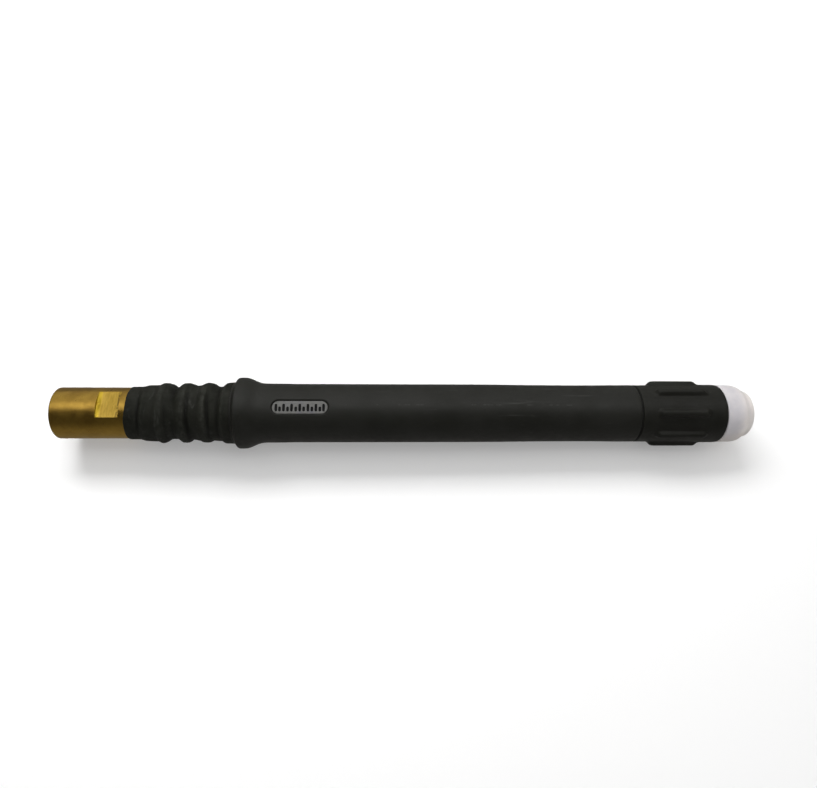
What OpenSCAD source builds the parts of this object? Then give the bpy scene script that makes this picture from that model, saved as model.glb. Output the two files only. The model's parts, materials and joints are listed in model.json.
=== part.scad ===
// Straight (pencil) gas-cooled TIG torch body with a screw-on nose cap.
// The torch axis is the X axis and +X points to the welding end. The origin is
// on the axis, at the mouth of the thread that takes the collet body.
// Lengths in the sections below are counted along the torch from its rear end.
// Threads are plain cylinders on their crest diameter.

/* [Stance] */
// Turn of the upper grip rib from straight up, so that the torch lies on two ribs
lie_turn = 22.5; // [0:0.5:45]

/* [Rear connector] */
// Diameter of the turned brass connector
conn_d = 20; // [18.4:0.1:20.3]
// Length of the full-width brass body, part of it under the boot's lip
conn_len = 29.7; // [28:0.1:32]
// Width across the two spanner flats
flat_af = 17; // [15:0.5:18]
// Length of the spanner flats
flat_len = 8.5; // [5:0.5:9]
// Distance from the spanner flats to the shoulder under the boot
flat_gap = 4.05; // [2.3:0.05:5]
// Turn of the spanner flats from the upper grip rib
flat_turn = 21; // [0:1:45]
// Crest diameter of the threaded cable socket
socket_d = 11; // [9:0.1:12]
// Depth of the threaded cable socket
socket_depth = 16; // [12:0.5:18]
// Diameter of the gas passage
gas_d = 5; // [3:0.5:5.5]

/* [Rubber boot] */
// Length of the thin lip that is stretched over the brass body
boot_lip = 2.1; // [1:0.1:2.2]
// Outer radius of the lip
boot_lip_r = 10.4; // [10.3:0.05:10.8]
// Length of the boot between the brass and the handle
boot_len = 37.6; // [36.5:0.1:40]
// Radius of the boot's body between its ribs
boot_r = 10.3; // [9.9:0.1:10.8]
// Height of the ribs above the body
boot_rib_h = 1.5; // [0.8:0.1:1.8]
// Number of ribs
boot_ribs = 3; // [2:1:3]
// Distance from rib to rib
boot_rib_pitch = 8; // [7.5:0.1:8.2]
// Radius of the collar that meets the handle
boot_collar_r = 12.2; // [11.5:0.1:12.6]

/* [Handle tube] */
// Length of the handle tube
handle_len = 159.4; // [140:0.1:200]
// Radius of the round grip
grip_r = 11.62; // [11.3:0.02:12.2]
// Radius of the slim stretch ahead of the grip
waist_r = 11.38; // [11:0.02:11.5]
// Radius of the rear flange
flange_r = 14.05; // [13:0.05:16]
// Bore radius of the handle tube
handle_bore_r = 9.6; // [9.5:0.05:9.8]

/* [Label plate] */
// Length of the label recess
label_len = 21.8; // [15:0.1:26]
// Width of the label recess
label_w = 5.8; // [4:0.1:7]
// Start of the recess ahead of the handle's rear end
label_start = 15.7; // [14:0.1:30]
// Turn of the label from the upper grip rib
label_turn = 11.5; // [0:0.5:30]

/* [Nose cap] */
// Length of the nose cap
cap_len = 33.65; // [32.5:0.05:36]
// Radius at the rear of the cap
cap_r_rear = 11.5; // [11.3:0.05:12]
// Radius at the front of the cap
cap_r_front = 11.8; // [11.4:0.05:12.2]
// Outer radius of the grip ribs
cap_rib_r = 13.2; // [12.4:0.05:14]
// Width of each grip rib
cap_rib_w = 3; // [2:0.1:4]
// Number of grip ribs
cap_ribs = 8; // [6:1:10]
// Thickness of the sealing washer behind the cap
nose_washer_t = 0.6; // [0.5:0.1:1]

/* [Front insulator] */
// Radius of the white insulator's ring
ins_r = 11.67; // [11:0.01:12]
// Length of the ring
ins_ring_len = 7.3; // [6:0.1:9]
// Length of the tapered boss ahead of the ring
ins_boss_len = 5; // [4:0.1:7]
// Radius of the hole that the collet body passes through
ins_bore_r = 6.5; // [6.4:0.05:6.8]

/* [Torch head] */
// Crest radius of the collet body thread
collet_thread_r = 4.35; // [4.2:0.01:4.4]
// Crest radius of the cap thread
cap_thread_r = 9; // [8.8:0.01:9]
// Outer radius of the conductor tube
tube_r = 5; // [4.8:0.05:5]
// Bore radius of the conductor tube
tube_bore_r = 3; // [2.5:0.05:3.4]

/* [Hidden] */
$fn = 96;
conn_r = conn_d / 2;
spigot_r = 8.5;
spigot_end = conn_len + 30.3;
flange_x = conn_len + boot_len;
handle_front = flange_x + handle_len;
washer_x = handle_front + 0.05;
cap_x = washer_x + nose_washer_t + 0.05;
cap_front = cap_x + cap_len;
ring_x = cap_front + 0.1;
ring_front = ring_x + ins_ring_len;
tip_x = ring_front + ins_boss_len;
head_face = cap_front - 3.05;
inner_r = handle_bore_r - 0.1;
nut_x = spigot_end + 0.3;

// Puts a shape that is drawn round +Z onto the torch axis.
module on_axis(x = 0) {
    translate([x - head_face, 0, 0]) rotate([0, 90, 0]) children();
}

// A shape turned about the torch axis, from +Z towards +Y.
module turned(a) {
    rotate([-a, 0, 0]) children();
}

// A ring from radius ri to radius ro.
module ring(x, len, ri, ro) {
    on_axis(x) difference() {
        cylinder(r = ro, h = len);
        translate([0, 0, -1]) cylinder(r = ri, h = len + 2);
    }
}

// A round bore or cutter.
module rod(x, len, r) {
    on_axis(x) cylinder(r = r, h = len);
}

module o_ring(x, centre_r, cord_r) {
    on_axis(x) rotate_extrude() translate([centre_r, 0]) circle(r = cord_r, $fn = 48);
}

// A plate with two round ends, drawn at its height h above the axis.
module pill(x, len, w, h, t) {
    translate([x - head_face, 0, h]) {
        translate([w / 2, -w / 2, 0]) cube([len - w, w, t]);
        translate([w / 2, 0, 0]) cylinder(d = w, h = t);
        translate([len - w / 2, 0, 0]) cylinder(d = w, h = t);
    }
}

// Brass connector: turned body, two spanner flats, spigot under the boot.
module rear_connector() {
    color([0.62, 0.50, 0.22]) difference() {
        on_axis() rotate_extrude() polygon([
            [0, 0], [conn_r - 0.4, 0], [conn_r, 0.4], [conn_r, conn_len],
            [spigot_r, conn_len], [spigot_r, spigot_end - 0.8],
            [spigot_r - 0.8, spigot_end], [0, spigot_end]]);
        turned(flat_turn - lie_turn) for (side = [0, 180]) rotate([side, 0, 0])
            translate([conn_len - flat_gap - flat_len - head_face, -15, flat_af / 2])
                cube([flat_len, 30, 10]);
        rod(-1, socket_depth, socket_d / 2);
        rod(socket_depth - 1.2, 1.2, socket_d / 2 + 0.4);
        rod(socket_depth - 0.5, 30, gas_d / 2);
        rod(spigot_end - 24, 30, 6.05);
        on_axis(-0.01) cylinder(r1 = socket_d / 2 + 0.8, r2 = socket_d / 2, h = 0.8);
    }
}

module inlet_seal_washer() {
    color([0.72, 0.45, 0.28]) ring(socket_depth - 1.2, 1.2, gas_d / 2 + 0.4, socket_d / 2 - 0.15);
}

// Threaded nipple that joins the conductor tube to the connector.
module tail_nipple() {
    color([0.66, 0.54, 0.26]) difference() {
        on_axis() rotate_extrude() polygon([
            [0, spigot_end - 22], [5.4, spigot_end - 22], [6, spigot_end - 21.4],
            [6, spigot_end + 4.5], [6.9, spigot_end + 4.5],
            [6.9, spigot_end + 14], [0, spigot_end + 14]]);
        rod(spigot_end - 23, 60, tube_bore_r);
        rod(spigot_end + 4, 20, tube_r);
    }
}

module tail_o_ring() {
    color([0.08, 0.08, 0.08]) o_ring(spigot_end - 23, 4.6, 0.95);
}

module lock_nut() {
    color([0.70, 0.70, 0.72]) on_axis(nut_x) difference() {
        intersection() {
            cylinder(d = 14 / cos(30), h = 4, $fn = 6);
            rotate_extrude() polygon([[0, 0], [7.2, 0], [8.2, 0.6], [8.2, 3.4], [7.2, 4], [0, 4]]);
        }
        translate([0, 0, -1]) cylinder(r = 6.03, h = 6);
    }
}

// Steps along one boot rib, as [distance, share of the rib height].
rib_steps = [[0, 0], [0.8, 0.55], [1.6, 0.92], [2.4, 1], [3.2, 0.92],
             [4, 0.62], [4.9, 0.4], [5.8, 0.28]];
first_rib = flange_x - 29.3;

// Ribbed rubber boot, stretched over the spigot and plugged into the handle.
module rear_boot() {
    color([0.13, 0.13, 0.12]) on_axis() rotate_extrude() polygon(concat(
        [[spigot_r + 0.03, conn_len + 0.05], [conn_r + 0.03, conn_len + 0.05],
         [conn_r + 0.03, conn_len - boot_lip], [boot_lip_r - 0.1, conn_len - boot_lip],
         [boot_lip_r, conn_len - boot_lip + 0.2], [boot_lip_r, conn_len - 0.2],
         [10.5, flange_x - 36.4], [10.65, flange_x - 35.3],
         [10.95, flange_x - 33.5], [11.05, flange_x - 31]],
        [for (i = [0 : boot_ribs - 1], s = rib_steps)
            [(i == 0 && s[0] == 0 ? boot_r + 0.8 : boot_r + boot_rib_h * s[1]),
             first_rib + i * boot_rib_pitch + s[0]]],
        [[boot_r + 0.45, flange_x - 6.2], [boot_r + 0.5, flange_x - 4.6],
         [boot_collar_r - 0.5, flange_x - 3.8], [boot_collar_r - 0.05, flange_x - 3.1],
         [boot_collar_r, flange_x - 0.05], [inner_r, flange_x - 0.05],
         [inner_r, flange_x + 11.7], [7.1, flange_x + 11.7],
         [7.1, flange_x - 2], [8.3, flange_x - 2],
         [8.3, spigot_end + 0.1], [spigot_r + 0.03, spigot_end + 0.1]]));
}

// Moulded handle tube with its rear flange and the recess for the label.
module handle_tube() {
    color([0.15, 0.16, 0.15]) difference() {
        on_axis() rotate_extrude() polygon([
            [handle_bore_r, flange_x], [12.3, flange_x], [12.4, flange_x + 0.6],
            [flange_r - 0.4, flange_x + 1.35], [flange_r - 0.06, flange_x + 1.8],
            [flange_r, flange_x + 2.4],
            [flange_r, flange_x + 4.6], [flange_r - 0.5, flange_x + 6.2],
            [flange_r - 1.2, flange_x + 7.8], [flange_r - 1.85, flange_x + 9.4],
            [grip_r + 0.28, flange_x + 10.8], [grip_r + 0.11, flange_x + 12.6],
            [grip_r + 0.1, flange_x + 18], [grip_r, flange_x + 22.5],
            [grip_r, flange_x + 99], [waist_r + 0.05, flange_x + handle_len * 0.74],
            [waist_r, flange_x + handle_len * 0.83],
            [cap_r_rear, handle_front - 6], [cap_r_rear, handle_front - 0.2],
            [cap_r_rear - 0.2, handle_front], [handle_bore_r, handle_front]]);
        turned(label_turn - lie_turn) pill(flange_x + label_start, label_len, label_w, grip_r - 0.75, 3);
    }
}

module label_plate() {
    color([0.45, 0.46, 0.46]) turned(label_turn - lie_turn)
        pill(flange_x + label_start + 0.3, label_len - 0.6, label_w - 0.6, grip_r - 0.75, 0.35);
}

// Copper tube that carries the welding current and the shielding gas.
module conductor_tube() {
    color([0.72, 0.42, 0.26]) ring(spigot_end + 4, head_face - 26 - spigot_end - 4,
                                   tube_bore_r, tube_r - 0.02);
}

module insulation_sleeve() {
    color([0.85, 0.83, 0.76]) ring(spigot_end + 14.5, head_face - 42.5 - spigot_end - 14.5,
                                   tube_r + 0.05, 7);
}

// Three rings that centre the insulated tube in the handle.
module tube_spacers() {
    color([0.45, 0.28, 0.14]) for (share = [0.27, 0.52, 0.77])
        ring(flange_x + handle_len * share, 5, 7.05, inner_r);
}

module rear_bush() {
    color([0.45, 0.28, 0.14]) ring(flange_x + 12, 9, 7.05, inner_r);
}

module pin_pair(r, from, to) {
    for (side = [0, 180]) rotate([side + 90, 0, 0])
        translate([-37, 0, from]) cylinder(r = r, h = to - from);
}

// Bush that carries the torch head in the front of the handle.
module front_bush() {
    color([0.45, 0.28, 0.14]) difference() {
        ring(head_face - 47, handle_front - 1 - (head_face - 47), 7.03, inner_r);
        pin_pair(1.02, 4, 12);
    }
}

// Two pins that stop the head turning in its bush.
module bush_pins() {
    color([0.70, 0.70, 0.72]) pin_pair(1, 5.75, inner_r - 0.1);
}

// Brass head: shank, cap thread, nose with its seal groove, collet thread.
module torch_head() {
    color([0.70, 0.58, 0.30]) difference() {
        on_axis() rotate_extrude() polygon([
            [0, head_face - 42], [6.6, head_face - 42], [7, head_face - 41.6],
            [7, head_face - 31.8], [8.3, head_face - 31.8], [8.3, head_face - 29.2],
            [cap_thread_r, head_face - 28.5], [cap_thread_r, head_face - 12.7],
            [cap_thread_r - 0.7, head_face - 12], [6.9, head_face - 12],
            [6.9, head_face - 7.4], [5.7, head_face - 7.4], [5.7, head_face - 5.6],
            [6.9, head_face - 5.6], [6.9, head_face - 0.4], [6.5, head_face], [0, head_face]]);
        rod(head_face - 43, 17, tube_r);
        rod(head_face - 27, 20, tube_bore_r);
        rod(head_face - 17, 3, collet_thread_r - 0.25);
        rod(head_face - 14.4, 16, collet_thread_r);
        pin_pair(1.02, 5.6, 12);
    }
}

// Perforated stop that the collet bears against.
module collet_stop() {
    color([0.72, 0.45, 0.28]) difference() {
        ring(head_face - 17, 2.5, 1.7, collet_thread_r - 0.27);
        for (a = [0 : 60 : 300]) on_axis(head_face - 18) rotate([0, 0, a])
            translate([2.55, 0, 0]) cylinder(r = 0.45, h = 5);
    }
}

module head_o_ring() {
    color([0.08, 0.08, 0.08]) o_ring(head_face - 6.5, 6.3, 0.58);
}

module nose_seal_washer() {
    color([0.10, 0.10, 0.10]) ring(washer_x, nose_washer_t, 9.2, cap_r_rear - 0.15);
}

// Outline of the brass insert inside the cap.
module insert_outline() {
    polygon([[cap_thread_r + 0.06, 3.8], [10, 3.8], [10, 6.8], [10.3, 7.2],
             [10.3, 9], [9.8, 9.4], [9.8, 10.6], [10.3, 11], [10.3, 12.8],
             [10, 13.2], [10, 15.8], [cap_thread_r + 0.06, 15.8]]);
}

// One straight grip rib with sloped ends, standing on the cap's body.
module cap_rib() {
    translate([cap_x - head_face, cap_rib_w / 2, 0]) rotate([90, 0, 0])
        linear_extrude(cap_rib_w)
            polygon([[5.4, 10.9], [6.1, 11.6], [6.7, 12.5], [8.1, cap_rib_r + 0.2],
                     [cap_len - 9.2, cap_rib_r + 0.2], [cap_len - 7.8, 12.7],
                     [cap_len - 6.4, 11.7], [cap_len - 5.6, 10.9]]);
}

// Screw-on cap that holds the insulator, with ribs for the fingers.
module nose_cap() {
    color([0.14, 0.14, 0.13]) difference() {
        union() {
            on_axis(cap_x) rotate_extrude() polygon([
                [9.5, 0], [cap_r_rear - 0.25, 0], [cap_r_rear, 0.25],
                [cap_r_rear + 0.02, 5], [cap_r_front, cap_len - 7],
                [cap_r_front, cap_len - 1.4], [cap_r_front - 0.15, cap_len - 0.5],
                [cap_r_front - 0.45, cap_len],
                [9.5, cap_len]]);
            intersection() {
                for (a = [0 : 360 / cap_ribs : 359]) turned(a - lie_turn) cap_rib();
                rod(cap_x, cap_len, cap_rib_r);
            }
        }
        on_axis(cap_x) rotate_extrude() insert_outline();
    }
}

module cap_thread_insert() {
    color([0.66, 0.54, 0.26]) on_axis(cap_x) rotate_extrude() insert_outline();
}

// White push-in insulator with the seat for the gas nozzle.
module front_insulator() {
    color([0.90, 0.89, 0.90]) on_axis() rotate_extrude() polygon([
        [7, head_face - 9.5], [9.1, head_face - 9.5], [9.4, head_face - 9.2],
        [9.4, head_face - 5.8], [8.2, head_face - 5.8], [8.2, head_face - 4.2],
        [9.4, head_face - 4.2], [9.4, ring_x], [ins_r - 1.2, ring_x],
        [ins_r - 0.35, ring_x + 0.3], [ins_r, ring_x + 1.1],
        [ins_r, ring_front - 1.8], [ins_r - 0.35, ring_front - 0.5],
        [ins_r - 0.95, ring_front + 0.7], [ins_r - 1.75, ring_front + 2],
        [ins_r - 2.1, ring_front + 2.9], [ins_r - 2.45, tip_x - 0.9],
        [ins_r - 2.9, tip_x - 0.25], [ins_r - 3.5, tip_x],
        [ins_bore_r + 0.4, tip_x], [ins_bore_r, tip_x - 0.4],
        [ins_bore_r, head_face + 0.5], [7, head_face + 0.5]]);
}

module insulator_o_ring() {
    color([0.08, 0.08, 0.08]) o_ring(head_face - 5, 8.81, 0.6);
}

rear_connector();
inlet_seal_washer();
tail_nipple();
tail_o_ring();
lock_nut();
rear_boot();
handle_tube();
label_plate();
conductor_tube();
insulation_sleeve();
tube_spacers();
rear_bush();
front_bush();
bush_pins();
torch_head();
collet_stop();
head_o_ring();
nose_seal_washer();
nose_cap();
cap_thread_insert();
front_insulator();
insulator_o_ring();
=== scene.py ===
# Looks of the pencil TIG torch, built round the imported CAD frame.
import json
import math

import bmesh
import bpy
import numpy as np
from mathutils import Matrix, Vector, noise


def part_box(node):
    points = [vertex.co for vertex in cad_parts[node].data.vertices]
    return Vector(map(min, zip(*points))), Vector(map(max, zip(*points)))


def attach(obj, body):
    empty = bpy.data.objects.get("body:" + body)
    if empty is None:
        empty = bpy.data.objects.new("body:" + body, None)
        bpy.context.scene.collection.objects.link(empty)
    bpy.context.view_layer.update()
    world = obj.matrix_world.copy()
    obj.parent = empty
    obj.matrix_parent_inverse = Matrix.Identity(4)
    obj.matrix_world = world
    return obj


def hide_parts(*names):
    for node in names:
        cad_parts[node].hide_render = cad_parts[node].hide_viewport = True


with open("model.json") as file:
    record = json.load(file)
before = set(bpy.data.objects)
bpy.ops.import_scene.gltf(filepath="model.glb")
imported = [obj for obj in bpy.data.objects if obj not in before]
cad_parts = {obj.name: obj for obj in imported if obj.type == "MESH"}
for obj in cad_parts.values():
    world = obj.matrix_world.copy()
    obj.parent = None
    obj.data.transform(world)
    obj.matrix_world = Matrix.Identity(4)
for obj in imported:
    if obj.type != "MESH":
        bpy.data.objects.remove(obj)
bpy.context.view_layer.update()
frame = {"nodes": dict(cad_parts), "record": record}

MM = 0.001
# Stations are counted in millimetres from the torch's rear end.
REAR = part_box("rear_connector")[0].x / MM
FLOOR_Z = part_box("handle_tube")[0].z
TAU = 2 * math.pi
# The torch lies on two of its grip ribs. Angles round the axis are counted from the
# rib that turns up beside straight up, and LIE is how far that rib leans to -Y.
LIE = math.radians(22.5)
TILT = Matrix.Rotation(LIE, 3, "X")


def at(x):
    return (REAR + x) * MM


# ---------------------------------------------------------------- mesh tools

def n3(x, y, z, seed=0.0):
    return noise.noise(Vector((x + 17.3 * seed, y - 9.1 * seed, z + 4.7 * seed)))


def smooth(a, b, v):
    t = min(1.0, max(0.0, (v - a) / (b - a)))
    return t * t * (3 - 2 * t)


def wrap(a):
    return (a + math.pi) % TAU - math.pi


def curve_through(points, v):
    """Smooth monotone reading of listed (position, value) points."""
    if v <= points[0][0]:
        return points[0][1]
    if v >= points[-1][0]:
        return points[-1][1]
    for i in range(len(points) - 1):
        (x0, y0), (x1, y1) = points[i], points[i + 1]
        if x0 <= v <= x1:
            def slope(j):
                if j <= 0 or j >= len(points) - 1:
                    return 0.0
                a = (points[j][1] - points[j - 1][1]) / (points[j][0] - points[j - 1][0])
                b = (points[j + 1][1] - points[j][1]) / (points[j + 1][0] - points[j][0])
                return 0.0 if a * b <= 0 else 2 * a * b / (a + b)
            h = x1 - x0
            t = (v - x0) / h
            m0, m1 = slope(i) * h, slope(i + 1) * h
            return ((2 * t ** 3 - 3 * t ** 2 + 1) * y0 + (t ** 3 - 2 * t ** 2 + t) * m0
                    + (-2 * t ** 3 + 3 * t ** 2) * y1 + (t ** 3 - t ** 2) * m1)


def path(points, closed=True, step=2.0, arc=5):
    """Corner points (x, r, fillet) to a list of (x, r) with rounded corners and even steps."""
    out = []
    n = len(points)
    for i, p in enumerate(points):
        x, r = p[0], p[1]
        f = p[2] if len(p) > 2 else 0
        if f == 0 or (not closed and i in (0, n - 1)):
            out.append((x, r))
            continue
        a, b = points[i - 1], points[(i + 1) % n]
        ua = Vector((a[0] - x, a[1] - r))
        ub = Vector((b[0] - x, b[1] - r))
        fa, fb = min(f, ua.length * 0.48), min(f, ub.length * 0.48)
        ua.normalize()
        ub.normalize()
        pa, pb, pc = Vector((x, r)) + ua * fa, Vector((x, r)) + ub * fb, Vector((x, r))
        for k in range(arc + 1):
            t = k / arc
            q = pa * (1 - t) ** 2 + pc * 2 * t * (1 - t) + pb * t * t
            out.append((q.x, q.y))
    dense = []
    m = len(out)
    for i in range(m if closed else m - 1):
        a, b = Vector(out[i]), Vector(out[(i + 1) % m])
        d = (b - a).length
        if d < 1e-6:
            continue
        dense.append(tuple(a))
        if d > 0.5:
            cuts = [0.12 / d] + [k / max(1, round(d / step)) for k in range(1, max(1, round(d / step)))] + [1 - 0.12 / d]
            last = 0
            for t in cuts:
                if t - last > 0.02 * min(1, step / d) and t < 1:
                    dense.append(tuple(a.lerp(b, t)))
                    last = t
    if not closed:
        dense.append(out[-1])
    return dense


def even(n):
    return [TAU * j / n for j in range(n)]


def new_object(name, verts, faces, smooth_shade=True):
    mesh = bpy.data.meshes.new(name)
    mesh.from_pydata([tuple(v) for v in verts], [], faces)
    mesh.validate()
    if smooth_shade:
        mesh.polygons.foreach_set("use_smooth", [True] * len(mesh.polygons))
    mesh.update()
    ob = bpy.data.objects.new(name, mesh)
    bpy.context.scene.collection.objects.link(ob)
    return ob


def lathe(name, rows, angles, shape=None, closed=True, masks=None):
    """Turns rows (x, r) about the torch axis. shape(x, r, angle, row) may move a point.
    masks(x, r, angle, row) gives named 0 to 1 values."""
    verts, kept = [], {}
    for i, (x, r) in enumerate(rows):
        for a in angles:
            px, pr = shape(x, r, a, i) if shape else (x, r)
            verts.append((at(px), pr * math.sin(a - LIE) * MM, pr * math.cos(a - LIE) * MM))
            if masks:
                for k, v in masks(x, r, a, i).items():
                    kept.setdefault(k, []).append(v)
    n, m = len(rows), len(angles)
    faces = []
    for i in range(n if closed else n - 1):
        p, q = i * m, ((i + 1) % n) * m
        for j in range(m):
            k = (j + 1) % m
            faces.append((p + j, q + j, q + k, p + k))
    ob = new_object(name, verts, faces)
    for k, vals in kept.items():
        att = ob.data.attributes.new(k, "FLOAT", "POINT")
        att.data.foreach_set("value", np.array(vals, np.float32))
    fix_normals(ob)
    return ob


def fix_normals(ob):
    bm = bmesh.new()
    bm.from_mesh(ob.data)
    bmesh.ops.recalc_face_normals(bm, faces=bm.faces)
    bm.to_mesh(ob.data)
    bm.free()


def stadium(cx, w, length, turn, loops, seg=20):
    """Plate with two round ends. loops are (inset, height above the axis)."""
    verts, faces = [], []
    a = math.radians(turn) - LIE
    per = 2 * (seg + 1)
    for inset, h in loops:
        rad = max(0.02, w / 2 - inset)
        half = length / 2 - w / 2
        for side in (1, -1):
            for k in range(seg + 1):
                t = -math.pi / 2 + math.pi * k / seg
                px = side * (half + rad * math.cos(t))
                py = side * rad * math.sin(t)
                y = py * math.cos(a) + h * math.sin(a)
                z = h * math.cos(a) - py * math.sin(a)
                verts.append((at(cx + px), y * MM, z * MM))
    for i in range(len(loops) - 1):
        for j in range(per):
            k = (j + 1) % per
            faces.append((i * per + j, (i + 1) * per + j, (i + 1) * per + k, i * per + k))
    faces.append(tuple(range(per))[::-1])
    last = (len(loops) - 1) * per
    faces.append(tuple(range(last, last + per)))
    return verts, faces


# ---------------------------------------------------------------- materials

class Nodes:
    def __init__(self, name):
        self.mat = bpy.data.materials.new(name)
        self.mat.use_nodes = True
        self.t = self.mat.node_tree
        self.bsdf = next(n for n in self.t.nodes if n.type == "BSDF_PRINCIPLED")
        # Texture space is turned so that its Z runs through the upper grip rib.
        turn = self.add("ShaderNodeMapping")
        turn.inputs["Rotation"].default_value = (-LIE, 0, 0)
        self.t.links.new(self.add("ShaderNodeTexCoord").outputs["Object"], turn.inputs["Vector"])
        self.coord = turn.outputs["Vector"]

    def add(self, kind, **props):
        n = self.t.nodes.new(kind)
        for k, v in props.items():
            setattr(n, k, v)
        return n

    def put(self, socket, value):
        if isinstance(value, bpy.types.NodeSocket):
            self.t.links.new(value, socket)
        else:
            socket.default_value = value

    def math(self, op, a, b=0.0, c=None, clamp=False):
        n = self.add("ShaderNodeMath", operation=op, use_clamp=clamp)
        self.put(n.inputs[0], a)
        self.put(n.inputs[1], b)
        if c is not None:
            self.put(n.inputs[2], c)
        return n.outputs[0]

    def scaled(self, scale=(1, 1, 1), rot=(0, 0, 0), loc=(0, 0, 0)):
        n = self.add("ShaderNodeMapping")
        self.put(n.inputs["Vector"], self.coord)
        n.inputs["Scale"].default_value = scale
        n.inputs["Rotation"].default_value = rot
        n.inputs["Location"].default_value = loc
        return n.outputs["Vector"]

    def noise(self, scale, detail=3.0, rough=0.5, vector=None, distortion=0.0):
        n = self.add("ShaderNodeTexNoise")
        self.put(n.inputs["Vector"], vector or self.coord)
        n.inputs["Scale"].default_value = scale
        n.inputs["Detail"].default_value = detail
        n.inputs["Roughness"].default_value = rough
        n.inputs["Distortion"].default_value = distortion
        return n.outputs["Fac"]

    def span(self, value, lo, hi, out_lo=0.0, out_hi=1.0, soft=True):
        n = self.add("ShaderNodeMapRange", interpolation_type="SMOOTHSTEP" if soft else "LINEAR")
        self.put(n.inputs["Value"], value)
        n.inputs["From Min"].default_value = lo
        n.inputs["From Max"].default_value = hi
        n.inputs["To Min"].default_value = out_lo
        n.inputs["To Max"].default_value = out_hi
        return n.outputs["Result"]

    def mix(self, fac, a, b, blend="MIX"):
        n = self.add("ShaderNodeMix", data_type="RGBA", blend_type=blend)
        self.put(n.inputs[0], fac)
        self.put(n.inputs[6], a if isinstance(a, bpy.types.NodeSocket) else (*a, 1))
        self.put(n.inputs[7], b if isinstance(b, bpy.types.NodeSocket) else (*b, 1))
        return n.outputs[2]

    def attr(self, name):
        n = self.add("ShaderNodeAttribute", attribute_type="GEOMETRY", attribute_name=name)
        return n.outputs["Fac"]

    def bump(self, height, distance, strength=1.0, normal=None):
        n = self.add("ShaderNodeBump")
        n.inputs["Strength"].default_value = strength
        n.inputs["Distance"].default_value = distance
        self.put(n.inputs["Height"], height)
        if normal is not None:
            self.put(n.inputs["Normal"], normal)
        return n.outputs["Normal"]

    def split(self):
        n = self.add("ShaderNodeSeparateXYZ")
        self.put(n.inputs[0], self.coord)
        return n.outputs[0], n.outputs[1], n.outputs[2]

    def set(self, **values):
        for k, v in values.items():
            s = self.bsdf.inputs[k.replace("_", " ")]
            if isinstance(v, bpy.types.NodeSocket):
                self.put(s, v)
            elif s.type == "RGBA" and len(v) == 3:
                s.default_value = (*v, 1)
            else:
                s.default_value = v
        return self


def moulded_black(name, top, low, rough, grain, dashed_line=False):
    """Matte black moulding: fine spark-eroded grain, slow tone changes, rubbed marks and, if asked, a lighter dashed
    line.
    """
    m = Nodes(name)
    slow = m.span(m.noise(60, 3, 0.55), 0.3, 0.7)
    base = m.mix(slow, low, top)
    dust = m.span(m.noise(900, 2, 0.6, m.scaled((0.35, 1, 1))), 0.62, 0.78, 0, 0.35)
    base = m.mix(dust, base, tuple(min(1, c * 1.9) for c in top))
    x, y, z = m.split()
    rub = m.noise(420, 3, 0.7, m.scaled((0.06, 1, 1)))
    rub = m.span(rub, 0.60, 0.74, 0, 0.35)
    wear = m.math("MULTIPLY", rub, m.span(m.noise(35, 2, 0.5), 0.45, 0.65))
    if dashed_line:
        # a lighter dashed line along one angle of the tube, between stations 106 and 208 mm
        ang = m.math("ARCTAN2", y, z)
        band = m.math("ABSOLUTE", m.math("SUBTRACT", ang, 0.285))
        line = m.span(band, 0.008, 0.030, 1, 0)
        dashes = m.span(m.noise(150, 4, 0.8, m.scaled((1, 0.2, 0.2))), 0.52, 0.60)
        reach = m.math("MULTIPLY", m.span(x, at(106), at(118)), m.span(x, at(196), at(208), 1, 0))
        mark = m.math("MULTIPLY", m.math("MULTIPLY", line, dashes), reach)
        mark = m.math("MULTIPLY", mark, 0.30)
        wear = m.math("MAXIMUM", wear, mark)
    base = m.mix(wear, base, (0.050, 0.051, 0.048))
    fine = m.noise(2600, 2, 0.6)
    mid = m.noise(700, 3, 0.6)
    low_wave = m.noise(90, 2, 0.5)
    height = m.math("ADD", m.math("MULTIPLY", fine, grain), m.math("MULTIPLY", mid, grain * 0.7))
    height = m.math("ADD", height, m.math("MULTIPLY", low_wave, 0.25))
    m.set(Base_Color=base,
          Roughness=m.math("ADD", m.span(m.noise(240, 3, 0.6), 0.3, 0.7, rough - 0.05, rough + 0.07), m.math("MULTIPLY", wear, 0.1)),
          Specular_IOR_Level=0.36,
          Normal=m.bump(height, 0.00006, 0.55))
    return m.mat


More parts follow.
